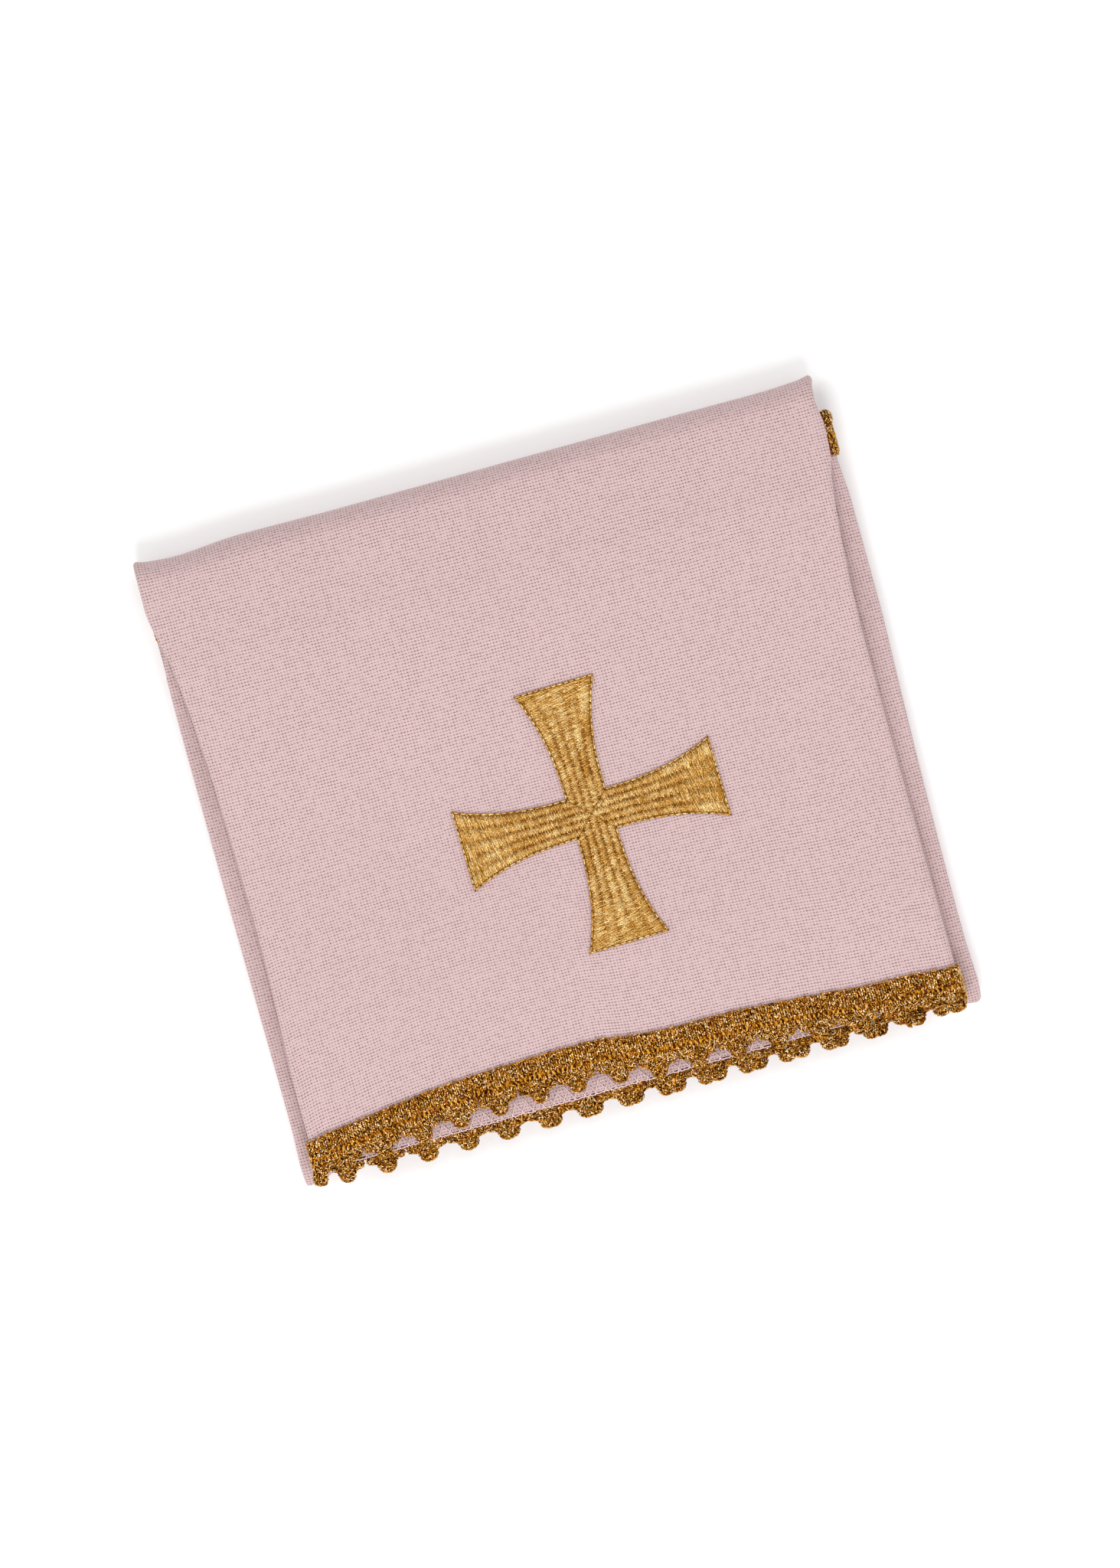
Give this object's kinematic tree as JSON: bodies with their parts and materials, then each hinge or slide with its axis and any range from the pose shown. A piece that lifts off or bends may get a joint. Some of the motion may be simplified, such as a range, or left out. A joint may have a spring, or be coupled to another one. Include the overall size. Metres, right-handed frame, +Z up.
{
  "type": "chalice veil",
  "caption": "Square linen veil folded in three both ways into a flat pad, with a gold picot edging on its front and back edges and a gold flared cross on the front panel.",
  "frame": {"origin": "middle of the folded veil's outline, on the surface it lies on", "axes": "+Z up from the surface, +Y from the edged front towards the top fold, +X to the right seen from above"},
  "size_m": [0.2063, 0.1896, 0.0168],
  "materials": {
    "pink_linen": "matt plain-woven linen",
    "gold_edging": "glittering metallic yarn, knitted",
    "gold_thread": "silky embroidery thread in satin stitch"
  },
  "bodies": {
    "root": {"veil_cloth": "pink_linen", "front_edging": "gold_edging", "back_edging": "gold_edging", "cross_embroidery": "gold_thread"}
  },
  "joints": []
}
